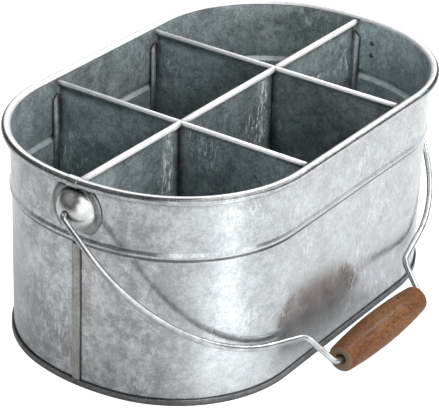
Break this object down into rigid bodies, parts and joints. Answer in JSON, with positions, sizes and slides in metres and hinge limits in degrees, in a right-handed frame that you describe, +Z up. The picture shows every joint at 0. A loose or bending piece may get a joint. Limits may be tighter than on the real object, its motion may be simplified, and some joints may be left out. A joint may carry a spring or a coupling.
{
  "type": "utensil caddy",
  "caption": "Oval galvanised utensil caddy with sheet dividers, a rolled rim and a swinging wire bail with a wooden grip.",
  "frame": {"origin": "centre of the flat bottom, on the surface that the caddy stands on", "axes": "+X along the tub from the near ear to the far ear, +Y away from the hanging bail, +Z up"},
  "size_m": [0.384, 0.2656, 0.162],
  "materials": {
    "galvanised_sheet": "galvanised, dull spangle",
    "galvanised_inside": "galvanised, dull",
    "zinc_wire": "bright zinc",
    "grip_wood": "varnished"
  },
  "bodies": {
    "caddy": {"wall_shell": "galvanised_sheet", "base_pan": "galvanised_sheet", "long_divider": "galvanised_inside", "cross_divider_near": "galvanised_inside", "cross_divider_far": "galvanised_inside", "ear_near": "galvanised_sheet", "ear_far": "galvanised_sheet", "ear_rivets": "zinc_wire"},
    "bail": {"bail_wire": "zinc_wire"},
    "grip": {"grip": "grip_wood"}
  },
  "joints": [
    {"name": "bail_swing", "type": "hinge", "parent": "caddy", "child": "bail", "pos_m": [0, 0, 0.13775], "axis": [-1, 0, 0], "range_deg": [0, 264.3]},
    {"name": "grip_spin", "type": "hinge", "parent": "bail", "child": "grip", "pos_m": [0, -0.13787, 0.0129], "axis": [1, 0, 0], "continuous": true}
  ]
}
